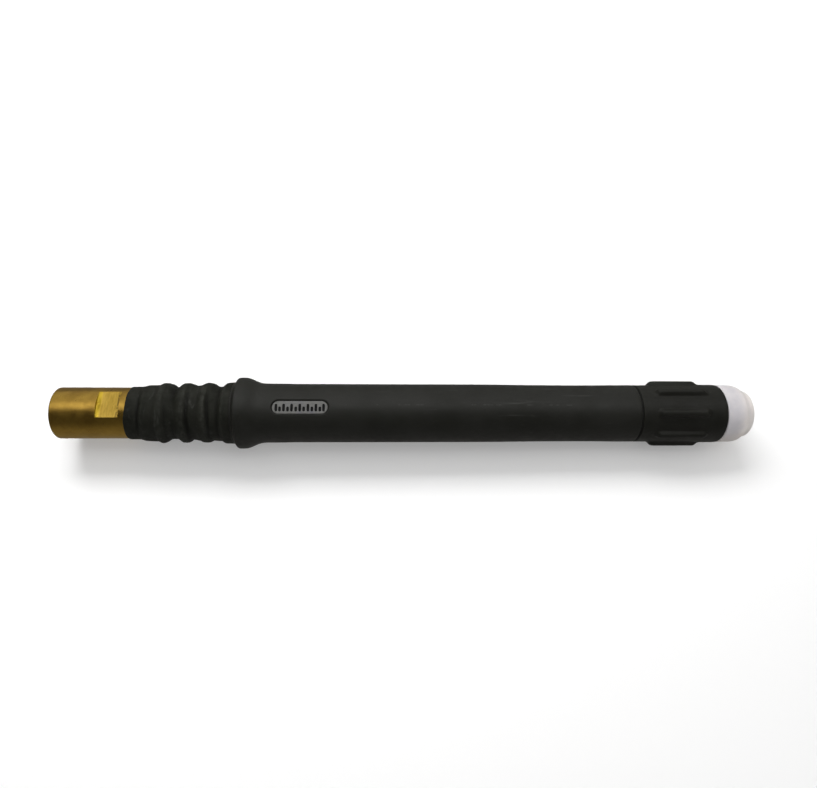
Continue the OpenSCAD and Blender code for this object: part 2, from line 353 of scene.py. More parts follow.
def rubber(name):
    m = Nodes(name)
    slow = m.span(m.noise(120, 4, 0.6), 0.3, 0.7)
    base = m.mix(slow, (0.0058, 0.0062, 0.0042), (0.0112, 0.0116, 0.0088))
    crest = m.attr("crest")
    rub = m.math("MULTIPLY", crest, m.span(m.noise(500, 4, 0.7), 0.35, 0.75, 0.1, 1))
    base = m.mix(m.math("MULTIPLY", rub, 0.55), base, (0.034, 0.035, 0.029))
    # painted shade: the rubber is darkened towards black in the grooves between the ribs
    groove = m.attr("groove")
    base = m.mix(m.math("MULTIPLY", groove, 0.7), base, (0.002, 0.002, 0.0015))
    smear = m.span(m.noise(1.0, 4, 0.65, m.scaled((520, 170, 170)), 0.8), 0.57, 0.74, 0, 0.40)
    base = m.mix(smear, base, (0.036, 0.037, 0.034))
    bloom = m.span(m.noise(1500, 3, 0.7), 0.62, 0.8, 0, 0.25)
    base = m.mix(bloom, base, (0.030, 0.030, 0.026))
    height = m.math("ADD", m.math("MULTIPLY", m.noise(1800, 3, 0.6), 0.5), m.math("MULTIPLY", m.noise(420, 3, 0.6), 0.9))
    height = m.math("ADD", height, m.math("MULTIPLY", m.noise(130, 3, 0.5, m.scaled((1, 0.7, 0.7))), 1.4))
    m.set(Base_Color=base, Roughness=m.span(m.noise(300, 3, 0.6), 0.3, 0.7, 0.56, 0.72),
          Specular_IOR_Level=0.23, Normal=m.bump(height, 0.00010, 0.6))
    return m.mat


def turned_brass(name, bright=(0.66, 0.415, 0.080), dull=(0.50, 0.300, 0.058), tarnish=0.5, milled=False):
    m = Nodes(name)
    x, y, z = m.split()
    patina = m.span(m.noise(130, 5, 0.65), 0.35, 0.7)
    base = m.mix(patina, bright, dull)
    spots = m.span(m.noise(700, 4, 0.7), 0.62, 0.75, 0, tarnish)
    base = m.mix(spots, base, (0.20, 0.125, 0.035))
    # Fine lathe marks run round the axis, so they change along X only.
    lines = m.noise(1.0, 3, 0.75, m.scaled((5200, 30, 30)))
    broad = m.noise(1.0, 2, 0.6, m.scaled((900, 20, 20)))
    height = m.math("ADD", m.math("MULTIPLY", lines, 0.6), m.math("MULTIPLY", broad, 0.5))
    rough = m.span(m.noise(200, 4, 0.6), 0.3, 0.7, 0.27, 0.40)
    normal = m.bump(height, 0.00002, 0.45)
    if milled:
        flat = m.attr("flat")
        wall = m.attr("wall")
        # marks of the milling cutter: bowed streaks across the flat
        sweep = m.add("ShaderNodeTexWave", wave_type="RINGS", rings_direction="SPHERICAL", wave_profile="SIN")
        m.put(sweep.inputs["Vector"], m.scaled((1, 1, 1), loc=(-at(44), 0.002, 0.0)))
        sweep.inputs["Scale"].default_value = 330
        sweep.inputs["Distortion"].default_value = 7.0
        sweep.inputs["Detail"].default_value = 4
        sweep.inputs["Detail Scale"].default_value = 2.2
        streak = m.noise(1.0, 3, 0.65, m.scaled((1500, 240, 240)), 0.6)
        swept = m.math("ADD", m.math("MULTIPLY", sweep.outputs["Fac"], 0.08), m.math("MULTIPLY", streak, 0.92))
        cut = m.mix(m.span(swept, 0.32, 0.68), (0.63, 0.410, 0.070), (0.78, 0.53, 0.100))
        dark = m.span(m.noise(1.0, 4, 0.75, m.scaled((1400, 420, 420))), 0.62, 0.76, 0, 0.6)
        cut = m.mix(dark, cut, (0.30, 0.19, 0.05))
        # darker scores where the cutter left the flat
        score = m.math("MULTIPLY", m.span(x, at(24.2), at(24.75)), m.span(x, at(25.2), at(24.9)))
        score = m.math("MULTIPLY", score, m.span(m.noise(700, 3, 0.6), 0.42, 0.55, 0.15, 0.8))
        cut = m.mix(score, cut, (0.22, 0.14, 0.04))
        base = m.mix(flat, base, cut)
        # painted highlight: the rounded end wall of each flat is given a brighter, more saturated brass colour
        base = m.mix(wall, base, (1.0, 0.70, 0.075))
        cutmarks = m.bump(m.math("MULTIPLY", swept, flat), 0.00003, 0.4, normal)
        normal = cutmarks
        rough = m.math("ADD", rough, m.math("MULTIPLY", flat, 0.13))
    m.set(Base_Color=base, Metallic=1.0, Roughness=rough, Normal=normal)
    return m.mat


def fluoropolymer(name):
    m = Nodes(name)
    x, y, z = m.split()
    # the front boss is a little warmer and painted much lighter: partly its own tone, partly painted light on its
    # forward slope, which the lamps reach less
    warm_tone_and_front_light = m.span(x, at(264), at(270.5))
    mottle_and_front_light = m.math("ADD", m.math("MULTIPLY", warm_tone_and_front_light, 0.8), m.span(m.noise(160, 4, 0.6), 0.3, 0.7, -0.15, 0.2), clamp=True)
    base = m.mix(mottle_and_front_light, (0.502, 0.485, 0.507), (0.735, 0.690, 0.660))
    # painted shade: the side turned away from the lamps, towards negative Y, is darkened
    low = m.span(m.math("ARCTAN2", y, m.math("ABSOLUTE", z)), -0.5, -1.1, 0, 0.55)
    base = m.mix(low, base, (0.41, 0.367, 0.333))
    grime = m.span(m.noise(320, 4, 0.7), 0.60, 0.76, 0, 0.30)
    base = m.mix(grime, base, (0.52, 0.48, 0.43))
    lines = m.noise(1.0, 2, 0.7, m.scaled((2600, 20, 20)))
    height = m.math("ADD", m.math("MULTIPLY", lines, 0.35), m.math("MULTIPLY", m.noise(900, 3, 0.6), 0.5))
    m.set(Base_Color=base, Roughness=m.span(m.noise(200, 3, 0.5), 0.3, 0.7, 0.34, 0.46),
          Specular_IOR_Level=0.42, Subsurface_Weight=0.18, Subsurface_Radius=(1.0, 0.9, 0.85),
          Subsurface_Scale=0.0012, Normal=m.bump(height, 0.00004, 0.4))
    return m.mat


def grey_plate(name):
    m = Nodes(name)
    grain = m.noise(1.0, 3, 0.7, m.scaled((700, 4200, 4200)))
    base = m.mix(m.span(grain, 0.3, 0.7), (0.092, 0.092, 0.087), (0.150, 0.150, 0.143))
    base = m.mix(m.span(m.noise(230, 3, 0.6), 0.52, 0.72, 0, 0.6), base, (0.108, 0.108, 0.126))
    wear = m.span(m.noise(700, 4, 0.7), 0.58, 0.74, 0, 0.5)
    base = m.mix(wear, base, (0.075, 0.072, 0.070))
    m.set(Base_Color=base, Metallic=0.25, Roughness=m.span(m.noise(400, 3, 0.6), 0.3, 0.7, 0.38, 0.55),
          Normal=m.bump(grain, 0.00003, 0.4))
    return m.mat


def ink(name):
    m = Nodes(name)
    base = m.mix(m.span(m.noise(1200, 3, 0.6), 0.35, 0.7), (0.003, 0.003, 0.003), (0.008, 0.008, 0.008))
    m.set(Base_Color=base, Specular_IOR_Level=0.15, Roughness=m.span(m.noise(800, 2, 0.5), 0.3, 0.7, 0.62, 0.8),
          Normal=m.bump(m.noise(2500, 2, 0.5), 0.00001, 0.4))
    return m.mat


def copper(name):
    m = Nodes(name)
    base = m.mix(m.span(m.noise(180, 4, 0.6), 0.35, 0.7), (0.62, 0.30, 0.18), (0.42, 0.19, 0.11))
    m.set(Base_Color=base, Metallic=1.0, Roughness=m.span(m.noise(300, 3, 0.6), 0.3, 0.7, 0.28, 0.46),
          Normal=m.bump(m.noise(1.0, 3, 0.7, m.scaled((400, 3000, 3000))), 0.00002, 0.4))
    return m.mat


def seal(name):
    m = Nodes(name)
    base = m.mix(m.span(m.noise(400, 3, 0.6), 0.3, 0.7), (0.003, 0.003, 0.003), (0.007, 0.007, 0.006))
    m.set(Base_Color=base, Specular_IOR_Level=0.25, Roughness=m.span(m.noise(600, 3, 0.6), 0.3, 0.7, 0.55, 0.72),
          Normal=m.bump(m.noise(2000, 3, 0.6), 0.00003, 0.5))
    return m.mat


def laminate(name):
    m = Nodes(name)
    weave = m.add("ShaderNodeTexWave", wave_type="BANDS", bands_direction="X")
    m.put(weave.inputs["Vector"], m.coord)
    weave.inputs["Scale"].default_value = 900
    weave.inputs["Distortion"].default_value = 3
    weave.inputs["Detail"].default_value = 3
    base = m.mix(weave.outputs["Fac"], (0.16, 0.068, 0.022), (0.27, 0.125, 0.045))
    m.set(Base_Color=base, Roughness=m.span(m.noise(500, 3, 0.6), 0.3, 0.7, 0.42, 0.6),
          Normal=m.bump(weave.outputs["Fac"], 0.00003, 0.4))
    return m.mat


def cream_tube(name):
    m = Nodes(name)
    base = m.mix(m.span(m.noise(150, 3, 0.6), 0.3, 0.7), (0.66, 0.61, 0.48), (0.58, 0.52, 0.39))
    m.set(Base_Color=base, Roughness=m.span(m.noise(300, 3, 0.6), 0.3, 0.7, 0.38, 0.52),
          Normal=m.bump(m.noise(1.0, 3, 0.6, m.scaled((200, 2500, 2500))), 0.00003, 0.4))
    return m.mat


def plated_steel(name):
    m = Nodes(name)
    base = m.mix(m.span(m.noise(300, 4, 0.6), 0.3, 0.7), (0.55, 0.55, 0.57), (0.42, 0.42, 0.45))
    m.set(Base_Color=base, Metallic=1.0, Roughness=m.span(m.noise(500, 3, 0.6), 0.3, 0.7, 0.26, 0.42),
          Normal=m.bump(m.noise(1500, 3, 0.6), 0.00002, 0.4))
    return m.mat


MAT = {
    "brass": turned_brass("brass", milled=True),
    "head_brass": turned_brass("head_brass", (0.66, 0.47, 0.17), (0.52, 0.35, 0.12), 0.25),
    "copper": copper("copper"),
    "boot_rubber": rubber("boot_rubber"),
    "handle_black": moulded_black("handle_black", (0.0105, 0.0106, 0.0088), (0.0078, 0.0079, 0.0061), 0.46, 0.5, True),
    "cap_black": moulded_black("cap_black", (0.0088, 0.0089, 0.0069), (0.0060, 0.0060, 0.0044), 0.47, 0.7),
    "label_grey": grey_plate("label_grey"),
    "ink": ink("ink"),
    "ptfe_white": fluoropolymer("ptfe_white"),
    "seal_rubber": seal("seal_rubber"),
    "phenolic": laminate("phenolic"),
    "sleeve_cream": cream_tube("sleeve_cream"),
    "zinc_steel": plated_steel("zinc_steel"),
}


def finish_piece(ob, body, slot, *nodes, mat=None):
    ob.data.materials.clear()
    ob.data.materials.append(MAT[mat or slot])
    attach(ob, body)
    if nodes:
        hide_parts(*nodes)
    return ob


# ---------------------------------------------------------------- camera

# The photograph was taken from close above, a little forward of the middle.
cam_data = bpy.data.cameras.new("camera")
cam = bpy.data.objects.new("camera", cam_data)
bpy.context.scene.collection.objects.link(cam)
bpy.context.scene.camera = cam
cam_data.sensor_width = 36.0
cam_data.lens = 598.0 / 817.0 * 36.0
cam_data.clip_start = 0.01
cam_data.clip_end = 10.0
YAW, PITCH, ROLL = 2.73, 1.835, 0.05
cam.rotation_mode = "QUATERNION"
look = Matrix.Rotation(math.radians(-YAW), 3, "Y") @ Matrix.Rotation(math.radians(PITCH), 3, "X") @ Matrix.Rotation(math.radians(ROLL), 3, "Z")
cam.rotation_quaternion = (TILT @ look).to_quaternion()
cam.location = TILT @ Vector((at(124.3), 0.0, 0.2402))

# ---------------------------------------------------------------- brass connector

FLAT_TURN = math.radians(22.2)
FLAT_R = 8.47


def thread_wave(phase):
    """0 at the root, 1 at the crest, with small flats."""
    t = abs((phase % 1.0) * 2 - 1)
    return min(1.0, max(0.0, (t - 0.10) / 0.78))


conn_rows = path([
    (14.8, 5.5, 0), (0.95, 5.5, 0.1), (0.0, 6.4, 0.15), (0.0, 10.0, 0.45), (29.7, 10.0, 0.05),
    (29.7, 8.5, 0.1), (60.0, 8.5, 0.5), (60.0, 6.05, 0.1), (36.0, 6.05, 0.1), (36.0, 2.5, 0.05),
    (16.0, 2.5, 0.1), (16.0, 5.9, 0.2), (14.8, 5.9, 0.1)], step=0.9)
rows2 = []
for i, (x, r) in enumerate(conn_rows):
    nx, nr = conn_rows[(i + 1) % len(conn_rows)]
    rows2.append((x, r))
    # the thread and the spanner flats need close rows
    if abs(r - 5.5) < 0.01 and abs(nr - 5.5) < 0.01 and x < 15 and nx < 15:
        k = max(1, int(abs(nx - x) / 0.11))
        rows2 += [(x + (nx - x) * j / k, 5.5) for j in range(1, k)]
    elif abs(r - 10) < 0.01 and abs(nr - 10) < 0.01 and x < nx:
        k = max(1, int(abs(nx - x) / (0.12 if 15.9 < nx < 26.5 else 0.8)))
        rows2 += [(x + (nx - x) * j / k, 10.0) for j in range(1, k)]
conn_rows = rows2

edge = math.acos(FLAT_R / 10.0)
conn_angles = even(144)
for side in (0, math.pi):
    for s in (-1, 1):
        e = FLAT_TURN + side + s * edge
        conn_angles += [(e + d) % TAU for d in (-0.022, -0.008, 0.0, 0.008, 0.022)]
conn_angles = sorted(conn_angles)
tidy = [conn_angles[0]]
for a in conn_angles[1:]:
    if a - tidy[-1] > 0.004:
        tidy.append(a)
conn_angles = tidy


def flat_depth(x, a):
    """Radius of the connector where its two flats are milled."""
    best = 10.0
    for side in (0, math.pi):
        d = wrap(a - FLAT_TURN - side)
        if abs(d) < 1.2:
            plane = FLAT_R / math.cos(d)
            if plane < 10.0:
                # steep end wall that runs out in a rounded corner, as the cutter left it
                cut = 0.42 * smooth(17.08, 17.22, x) + 0.58 * smooth(17.15, 18.75, x)
                cut = min(cut, 1 - smooth(25.40, 25.62, x))
                best = min(best, 10.0 + (plane - 10.0) * cut)
    return best


def conn_shape(x, r, a, i):
    if abs(r - 10.0) < 0.02 and 16.5 < x < 26.4:
        r = min(r, flat_depth(x, a))
        # a small nick in the end wall of the upper flat
        d = math.hypot((x - 17.5) / 0.50, (wrap(a - 0.38) * 9.6) / 0.24)
        r -= 0.40 * (1 - smooth(0.4, 1.2, d))
    elif abs(r - 5.5) < 0.01 and x < 14.6:
        depth = smooth(0.9, 2.2, x) * 0.58
        r = 5.5 + depth * (1 - thread_wave(x - a / TAU))
    return x, r


def conn_masks(x, r, a, i):
    flat = wall = 0.0
    if abs(r - 10.0) < 0.02 and 16.9 < x < 25.8:
        f = flat_depth(x, a)
        if f < 9.985:
            # the wall value marks the flat's end wall for a painted highlight in the brass material
            wall = 1 - smooth(17.9, 18.8, x)
            flat = 1.0
    return {"flat": flat, "wall": wall}


finish_piece(lathe("connector_brass", conn_rows, conn_angles, conn_shape, masks=conn_masks),
             "torch", "brass", "rear_connector")

# ---------------------------------------------------------------- rubber boot

# Outlines of the boot on its two sides: (station, radius).
BOOT_LEFT = [(27.4, 10.30), (28.6, 10.30), (30.2, 10.34), (31.2, 10.30), (32.1, 10.42), (33.2, 10.72), (34.4, 10.89),
             (37.6, 10.95), (38.4, 11.05), (39.3, 11.48), (40.3, 11.82), (41.3, 11.80),
             (42.4, 11.46), (43.1, 11.33), (44.1, 10.62), (45.0, 10.20), (45.8, 10.32), (47.0, 11.28), (48.2, 11.84),
             (49.4, 11.84), (50.3, 11.56), (51.4, 11.22), (52.5, 10.83), (53.6, 10.96), (54.6, 11.12), (55.6, 11.70),
             (56.6, 11.98), (57.5, 11.90), (59.0, 11.60), (60.2, 10.78), (61.1, 10.50), (62.6, 10.52), (63.6, 11.30),
             (64.5, 11.95), (65.7, 12.06), (67.25, 12.10)]
BOOT_RIGHT = [(26.6, 10.42), (27.8, 10.38), (30.0, 10.38), (31.2, 10.40), (32.0, 10.62), (33.2, 10.98),
              (34.2, 11.06), (36.5, 11.14), (37.6, 11.19), (38.7, 11.54), (39.6, 11.88), (40.4, 11.68), (41.6, 10.95),
              (42.6, 10.42), (43.8, 10.28), (45.4, 10.26), (46.4, 10.90), (47.6, 11.68), (48.6, 11.76), (49.6, 11.56),
              (50.6, 10.80), (51.4, 10.56), (52.8, 10.74), (54.2, 11.08), (55.2, 11.60), (56.4, 11.71), (57.4, 11.58),
              (58.4, 11.10), (59.2, 10.92), (60.8, 11.08), (62.4, 11.12), (63.2, 11.68), (64.2, 12.02), (65.6, 12.08),
              (67.25, 12.14)]
# Seen from above, between the two sides.
BOOT_TOP = [(27.8, 10.46), (28.6, 10.50), (30.6, 10.48), (31.8, 10.44), (32.4, 10.22), (32.9, 10.26), (33.6, 10.76),
            (34.8, 10.98), (37.4, 11.05), (38.6, 11.2), (39.8, 11.60), (40.8, 11.70), (41.7, 11.56), (42.3, 11.22),
            (42.8, 10.98), (43.6, 10.90), (44.6, 10.88), (45.6, 10.95), (46.6, 11.16), (47.8, 11.60), (48.8, 11.76),
            (49.7, 11.66), (50.3, 11.28), (50.7, 10.90), (51.0, 10.74), (51.4, 10.88), (52.2, 11.04), (53.4, 11.08),
            (54.8, 11.24), (55.9, 11.62), (56.9, 11.78), (57.7, 11.66), (58.2, 11.28), (58.6, 10.90), (58.9, 10.74),
            (59.3, 10.88), (60.2, 11.02), (61.8, 11.06), (63.0, 11.38), (64.1, 12.05), (65.4, 12.18), (67.25, 12.22)]

BOOT_ANGLES = even(180)


def boot_radius(x, a):
    side = math.sin(a)
    s = 0.5 + 0.5 * side
    left, right, top = curve_through(BOOT_LEFT, x), curve_through(BOOT_RIGHT, x), curve_through(BOOT_TOP, x)
    w = abs(side) ** 1.6
    r = (1 - w) * top + w * (left * s + right * (1 - s))
    # uneven, hand-fitted rubber
    u, v = 11 * math.cos(a), 11 * math.sin(a)
    amp = smooth(28, 33, x) * (1 - smooth(62, 66, x))
    r += amp * 0.10 * n3(x * 0.16, u * 0.16, v * 0.16, 1)
    r += amp * 0.045 * n3(x * 0.55, u * 0.45, v * 0.45, 2)
    return r


def lip_edge(a):
    return (27.45 + 0.45 * math.sin(a) + 0.28 * math.cos(a) + 0.16 * math.sin(3 * a + 0.6) + 0.06 * math.sin(7 * a)
            + 0.07 * n3(9 * math.cos(a), 9 * math.sin(a), 0.3, 12))


def boot_station(x, a):
    """The lip and the creases lean a little: moves a plain station to where the rubber lies."""
    bend = 0.40 * n3(0.13 * x, 2.1 * math.cos(a), 2.1 * math.sin(a), 3) * smooth(30, 36, x) * (1 - smooth(58, 63, x))
    return x + (lip_edge(a) - 27.6) * (1 - smooth(27.6, 36.0, x)) + bend


def boot_shape(x, r, a, i):
    if i < boot_outer:
        rr = boot_radius(min(67.25, max(26.6, x)), a)
        if x > 67:
            rr = min(rr, 12.2)
        if i < 5:
            rr -= (0.16, 0.07, 0.02, 0.0, 0.0)[i]
        return boot_station(x, a), rr
    if x < 28.0:
        return boot_station(27.6, a), r
    return x, r


outer = [(27.60, 10.2), (27.63, 10.2), (27.7, 10.2), (27.8, 10.2), (27.95, 10.2)]
outer += [(27.95 + 0.2 * k, 10.2) for k in range(1, 196)]
outer += [(67.1, 12.2), (67.2, 12.1), (67.25, 11.9)]
boot_outer = len(outer) - 1
boot_rows = outer + path([(67.25, 9.5, 0.1), (79.0, 9.5, 0.5), (79.0, 7.1, 0.3), (65.3, 7.1, 0.2), (65.3, 8.3, 0.2),
                          (60.1, 8.3, 0.1), (60.1, 8.53, 0.05), (29.75, 8.53, 0.05), (29.75, 10.03, 0.05),
                          (27.61, 10.03, 0.0)], closed=False, step=2)


def boot_masks(x, r, a, i):
    if i >= boot_outer:
        return {"crest": 0.0, "groove": 0.0}
    here = boot_radius(x, a)
    near = 0.5 * (boot_radius(max(26.6, x - 1.3), a) + boot_radius(min(67.25, x + 1.3), a))
    d = here - near
    # the second value marks the valleys between the ribs, where the rubber is given painted shade
    return {"crest": smooth(0.02, 0.5, d), "groove": smooth(0.03, 0.42, -d)}


finish_piece(lathe("boot_rubber_sleeve", boot_rows, BOOT_ANGLES, boot_shape, masks=boot_masks),
             "torch", "boot_rubber", "rear_boot")

# ---------------------------------------------------------------- handle

LABEL_TURN = math.radians(11.9)
LABEL_X, LABEL_L, LABEL_W = 93.9, 21.8, 5.75
LABEL_FLOOR = 10.87

HANDLE = [(67.3, 12.24), (67.85, 12.30), (68.15, 12.60), (68.42, 13.14), (68.72, 13.62), (69.02, 13.92), (69.45, 14.03), (70.2, 14.05), (71.8, 14.02), (72.6, 13.86),
          (73.4, 13.60), (74.4, 13.20), (75.4, 12.74), (76.4, 12.34), (77.4, 12.02), (78.4, 11.86), (79.6, 11.76),
          (81.5, 11.73), (85.0, 11.72), (88.0, 11.68), (90.5, 11.62), (100, 11.62), (130, 11.62), (160, 11.62),
          (168, 11.60), (178, 11.50), (188, 11.41), (200, 11.37), (210, 11.40), (220, 11.50), (226.4, 11.50)]

xs = [67.3 + 0.1 * k for k in range(5)]
x = 67.8
while x < 226.45:
    xs.append(x)
    if x < 71:
        x += 0.15
    elif x < 80:
        x += 0.3
    elif 82.2 < x < 105.6:
        x += 0.13
    else:
        x += 1.2
h_outer = [(67.32, 12.10), (67.30, 12.20)] + [(v, 11.6) for v in xs[1:]] + [(226.5, 11.5), (226.62, 11.46), (226.68, 11.38), (226.7, 11.28)]
handle_rows = h_outer + path([(226.7, 9.6, 0.15), (67.3, 9.6, 0.3)], closed=False, step=4)
h_count = len(h_outer)

h_angles = []
a = -math.pi + LABEL_TURN
while a < math.pi + LABEL_TURN - 0.02:
    h_angles.append(a)
    a += math.radians(0.62) if abs(a - LABEL_TURN) < math.radians(17.5) else math.radians(2.4)


def label_distance(x, y):
    """Signed distance to the recess outline, in the label's own plane."""
    half = LABEL_L / 2 - LABEL_W / 2
    return math.hypot(max(0.0, abs(x - LABEL_X) - half), y) - LABEL_W / 2


def handle_shape(x, r, a, i):
    if i >= h_count or i < 2 or x > 226.49:
        return x, r
    r = curve_through(HANDLE, x)
    d = wrap(a - LABEL_TURN)
    if 80 < x < 108 and abs(d) < 0.4:
        y = r * math.sin(d)
        s = label_distance(x, y)
        if s < 0.5:
            floor = LABEL_FLOOR / math.cos(d)
            edge_r = r - 0.05 * (1 - smooth(0.0, 0.35, s))
            r = floor + (edge_r - floor) * smooth(-0.14, 0.10, s)
    u, v = math.cos(a), math.sin(a)
    r += 0.012 * n3(x * 0.05, u * 2, v * 2, 5)
    return x, min(r, 14.05)


finish_piece(lathe("handle_shell", handle_rows, h_angles, handle_shape), "torch", "handle_black", "handle_tube")

# label plate with a plain row of size marks
PW, PL, PLATE_TURN, PLATE_X = 4.88, 21.08, 11.0, 93.82
verts, faces = stadium(PLATE_X, PW, PL, PLATE_TURN, [(0.0, 10.88), (0.0, 11.06), (0.03, 11.12), (0.10, 11.17), (0.22, 11.19), (0.6, 11.195)])
plate = new_object("label_plate_grey", verts, faces)
fix_normals(plate)
plate.data.set_sharp_from_angle(angle=math.radians(40))
finish_piece(plate, "torch", "label_grey", "label_plate")

verts, faces = [], []


def add_mark(cx, cy, w, length, upright=False):
    base = len(verts)
    seg = 8
    a = math.radians(10.7) - LIE
    loops = [(0.0, 11.19), (0.0, 11.225), (0.05, 11.24)]
    per = 2 * (seg + 1)
    for inset, h in loops:
        rad, half = w / 2 - inset, max(0.0, length / 2 - w / 2)
        for side in (1, -1):
            for k in range(seg + 1):
                t = -math.pi / 2 + math.pi * k / seg
                px, py = side * (half + rad * math.cos(t)), side * rad * math.sin(t)
                if upright:
                    px, py = py, -px
                py += cy
                verts.append((at(cx + px), (py * math.cos(a) + h * math.sin(a)) * MM, (h * math.cos(a) - py * math.sin(a)) * MM))
    for i in range(len(loops) - 1):
        for j in range(per):
            k = (j + 1) % per
            faces.append((base + i * per + j, base + (i + 1) * per + j, base + (i + 1) * per + k, base + i * per + k))
    faces.append(tuple(range(base, base + per))[::-1])
    faces.append(tuple(range(base + 2 * per, base + 3 * per)))


# a plain graduated row of tall and short bars (the dots are drawn as short bars too), mirrored about the middle
for s in (-1, 1):
    for off, kind in [(1.5, "short"), (3.1, "tall"), (4.6, "dot"), (6.1, "tall"), (7.6, "short"), (9.0, "tall")]:
        if kind == "tall":
            add_mark(PLATE_X + s * off, 0, 1.0, 3.0, True)
        elif kind == "short":
            add_mark(PLATE_X + s * off, -0.55, 1.0, 1.9, True)
        else:
            add_mark(PLATE_X + s * off, -0.55, 1.0, 1.9, True)
add_mark(PLATE_X, 0, 1.0, 3.0, True)
marks = new_object("label_marks", verts, faces, smooth_shade=False)
fix_normals(marks)
finish_piece(marks, "torch", "label_grey", mat="ink")

# ---------------------------------------------------------------- sealing washer

washer_rows = path([(226.75, 9.2, 0.1), (226.75, 11.26, 0.12), (227.35, 11.26, 0.12), (227.35, 9.2, 0.1)], step=0.5)
finish_piece(lathe("nose_washer", washer_rows, even(144),
                   lambda x, r, a, i: (x, r + (0.02 * n3(x, 3 * math.cos(a), 3 * math.sin(a), 6) - 0.02 if r > 11 else 0))),
             "nose_seal", "seal_rubber", "nose_seal_washer")

# ---------------------------------------------------------------- nose cap

CAP0, CAP1 = 227.4, 261.1
RIB_RISE = [(232.9, 0.0), (233.35, 0.14), (233.8, 0.40), (234.3, 0.72), (234.8, 0.88), (235.4, 0.95), (236.6, 1.0),
            (251.4, 1.0), (252.1, 0.96), (252.75, 0.80), (253.35, 0.48), (253.9, 0.20), (254.4, 0.06), (255.0, 0.0)]

cap_angles = []
for k in range(8):
    for j in range(36):
        t = j / 36.0
        cap_angles.append(TAU * (k + t) / 8)

outer = [(CAP0 + 0.06, 10.4), (CAP0 + 0.03, 10.8), (CAP0, 11.12), (CAP0, 11.30), (CAP0 + 0.05, 11.42), (CAP0 + 0.2, 11.5)]
x = CAP0 + 0.45
while x < CAP1 - 0.36:
    outer.append((x, 11.5))
    x += 0.22 if (232.4 < x < 236.2 or 251 < x < 255.4 or x > 259) else 0.5
outer += [(CAP1 - 0.26, 11.73), (CAP1 - 0.13, 11.69), (CAP1 - 0.04, 11.60), (CAP1, 11.46), (CAP1, 11.2)]
cap_count = len(outer)
cap_rows = outer + path([(CAP1, 9.5, 0.3), (243.2, 9.5, 0.1), (243.2, 10.0, 0.05), (231.2, 10.0, 0.05),
                         (231.2, 9.5, 0.1), (CAP0 + 0.06, 9.5, 0.1)], closed=False, step=2)


def cap_body(x):
    return curve_through([(CAP0, 11.5), (233, 11.52), (246, 11.70), (254, 11.8), (CAP1 - 1.6, 11.8), (CAP1 - 0.8, 11.78), (CAP1 - 0.26, 11.73), (CAP1, 11.6)], x)


def rib_amount(x, a):
    d = abs((a + TAU / 16) % (TAU / 8) - TAU / 16) * 12.4
    rise = curve_through(RIB_RISE, x)
    # the ends of each rib narrow a little as they run out
    half = 1.14 + 0.20 * rise
    side = 1 - smooth(half - 0.85, half + 0.95, d)
    return rise * side, d


def cap_shape(x, r, a, i):
    if i >= cap_count or i < 6 or x > CAP1 - 0.31:
        return x, r
    base = cap_body(x)
    amount, d = rib_amount(x, a)
    crown = 13.2 - 0.05 * d * d
    r = base + (crown - base) * amount
    r += 0.012 * n3(x * 0.12, 2.5 * math.cos(a), 2.5 * math.sin(a), 7)
    # shallow valley beside each rib
    valley = curve_through(RIB_RISE, x) * math.exp(-((d - 2.3) / 0.5) ** 2)
    r -= 0.025 * valley
    # specks left by the mould
    for sx, sa, sr in ((237.9, -0.235, 0.22), (238.7, -0.300, 0.18), (237.0, -0.31, 0.15), (238.9, -0.20, 0.13)):
        dd = math.hypot(x - sx, (wrap(a - sa)) * 11.6)
        r += 0.10 * (1 - smooth(sr * 0.5, sr * 2.2, dd))
    return x, min(r, 13.2)


finish_piece(lathe("nose_cap_shell", cap_rows, cap_angles, cap_shape), "nose_cap", "cap_black", "nose_cap")

# ---------------------------------------------------------------- insulator

INS = path([
    (248.6, 7.0, 0.15), (248.6, 9.1, 0.2), (248.9, 9.4, 0.1), (252.2, 9.4, 0.08), (252.2, 8.2, 0.1), (253.8, 8.2, 0.1),
    (253.8, 9.4, 0.08), (261.15, 9.4, 0.1), (261.15, 11.67, 1.0), (268.6, 11.67, 2.1), (271.0, 9.78, 2.2),
    (273.45, 9.25, 1.5), (273.45, 6.5, 0.5), (258.5, 6.5, 0.1), (258.5, 7.0, 0.1)], step=0.8, arc=9)


def ins_shape(x, r, a, i):
    if x > 261.4 and r > 8:
        soft = smooth(261.4, 263, x)
        r -= soft * (0.05 + 0.07 * n3(x * 0.22, 2.2 * math.cos(a), 2.2 * math.sin(a), 8))
        r -= soft * 0.03 * n3(x * 1.1, 7 * math.cos(a), 7 * math.sin(a), 9)
    return x, r


finish_piece(lathe("insulator_white", INS, even(144), ins_shape), "front_insulator", "ptfe_white", "front_insulator")

# ---------------------------------------------------------------- torch head

head_rows = path([
    (216.0, 5.0, 0.1), (216.0, 7.0, 0.4), (226.2, 7.0, 0.1), (226.2, 8.3, 0.2), (228.8, 8.3, 0.1), (229.4, 9.0, 0.1),
    (245.3, 9.0, 0.1), (246.0, 8.3, 0.1), (246.0, 6.9, 0.1), (250.6, 6.9, 0.12), (250.6, 5.7, 0.15), (252.4, 5.7, 0.15),
    (252.4, 6.9, 0.12), (257.6, 6.9, 0.1), (258.0, 6.5, 0.1), (258.0, 4.35, 0.06), (243.6, 4.35, 0.05), (243.6, 4.1, 0.05),
    (241.0, 4.1, 0.05), (241.0, 3.0, 0.1), (232.0, 3.0, 0.1), (232.0, 5.0, 0.1)], step=0.8)
rows2 = []
for i, (x, r) in enumerate(head_rows):
    nx, nr = head_rows[(i + 1) % len(head_rows)]
    rows2.append((x, r))
    if abs(r - nr) < 0.01 and (abs(r - 9.0) < 0.01 or abs(r - 4.35) < 0.01):
        k = max(1, int(abs(nx - x) / 0.13))
        rows2 += [(x + (nx - x) * j / k, r) for j in range(1, k)]
head_rows = rows2


